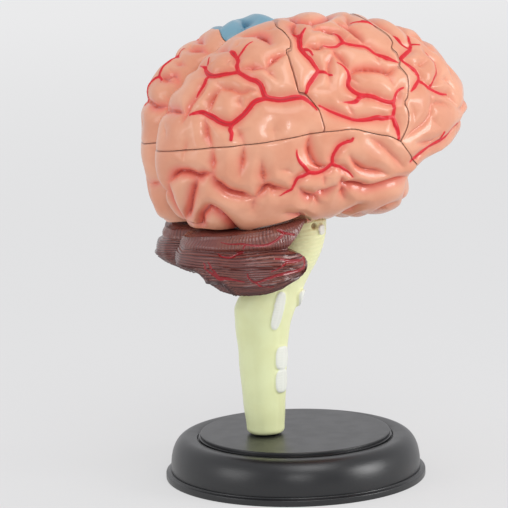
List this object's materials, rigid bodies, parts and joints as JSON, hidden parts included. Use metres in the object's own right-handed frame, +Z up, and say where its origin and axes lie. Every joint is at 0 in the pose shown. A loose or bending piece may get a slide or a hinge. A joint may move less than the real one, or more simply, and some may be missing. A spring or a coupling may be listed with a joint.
{
  "type": "brain anatomy model",
  "caption": "Take-apart desk model of a human brain: folded lobes pegged on an inner core, striped cerebellum and pale stem on a round black stand.",
  "frame": {"origin": "on the table, under the middle of the model's box", "axes": "+X towards the forehead, +Y the model's left side, +Z up"},
  "size_m": [0.095, 0.0786, 0.1403],
  "materials": {
    "cortex": "glossy moulded plastic, peach with a darker wash in the grooves and painted red vessels",
    "blue_cortex": "glossy moulded plastic, blue",
    "cerebellum": "glossy moulded plastic, maroon brown, finely ridged",
    "stem": "satin moulded plastic, pale yellow green",
    "stand_black": "satin black plastic",
    "white_matter": "satin cream plastic",
    "callosum": "satin off-white plastic",
    "thalamus": "satin violet plastic",
    "nucleus": "satin blue plastic",
    "hippocampus": "satin green plastic",
    "amygdala": "satin ochre plastic",
    "gland": "satin red plastic"
  },
  "bodies": {
    "stand": {"display_base": "stand_black"},
    "stem": {"brain_stem": "stem", "right_core": "white_matter", "left_core": "white_matter", "corpus_callosum": "callosum", "fornix": "callosum", "hypothalamus": "nucleus", "pituitary_gland": "gland", "pineal_gland": "gland", "right_thalamus": "thalamus", "left_thalamus": "thalamus", "right_caudate_nucleus": "nucleus", "left_caudate_nucleus": "nucleus", "right_lentiform_nucleus": "nucleus", "left_lentiform_nucleus": "nucleus", "right_hippocampus": "hippocampus", "left_hippocampus": "hippocampus", "right_amygdala": "amygdala", "left_amygdala": "amygdala"},
    "right_cerebellum": {"right_cerebellum": "cerebellum"},
    "left_cerebellum": {"left_cerebellum": "cerebellum"},
    "right_parietal": {"right_parietal_lobe": "cortex"},
    "right_central": {"right_central_lobe": "cortex"},
    "right_frontal": {"right_frontal_lobe": "cortex"},
    "right_temporal": {"right_temporal_lobe": "cortex"},
    "left_parietal": {"left_parietal_lobe": "cortex"},
    "left_central": {"left_central_lobe": "blue_cortex"},
    "left_frontal": {"left_frontal_lobe": "cortex"},
    "left_temporal": {"left_temporal_lobe": "cortex"}
  },
  "joints": [
    {"name": "stem_lift", "type": "slide", "parent": "stand", "child": "stem", "axis": [0, 0, 1], "range_m": [0, 0.012]},
    {"name": "right_cerebellum_pull", "type": "slide", "parent": "stem", "child": "right_cerebellum", "axis": [0, -1, 0], "range_m": [0, 0.012]},
    {"name": "left_cerebellum_pull", "type": "slide", "parent": "stem", "child": "left_cerebellum", "axis": [0, 1, 0], "range_m": [0, 0.012]},
    {"name": "right_parietal_pull", "type": "slide", "parent": "stem", "child": "right_parietal", "axis": [0, -1, 0], "range_m": [0, 0.018]},
    {"name": "right_central_pull", "type": "slide", "parent": "stem", "child": "right_central", "axis": [0, -1, 0], "range_m": [0, 0.018]},
    {"name": "right_frontal_pull", "type": "slide", "parent": "stem", "child": "right_frontal", "axis": [0, -1, 0], "range_m": [0, 0.018]},
    {"name": "right_temporal_pull", "type": "slide", "parent": "stem", "child": "right_temporal", "axis": [0, -1, 0], "range_m": [0, 0.018]},
    {"name": "left_parietal_pull", "type": "slide", "parent": "stem", "child": "left_parietal", "axis": [0, 1, 0], "range_m": [0, 0.018]},
    {"name": "left_central_pull", "type": "slide", "parent": "stem", "child": "left_central", "axis": [0, 1, 0], "range_m": [0, 0.018]},
    {"name": "left_frontal_pull", "type": "slide", "parent": "stem", "child": "left_frontal", "axis": [0, 1, 0], "range_m": [0, 0.018]},
    {"name": "left_temporal_pull", "type": "slide", "parent": "stem", "child": "left_temporal", "axis": [0, 1, 0], "range_m": [0, 0.018]}
  ]
}
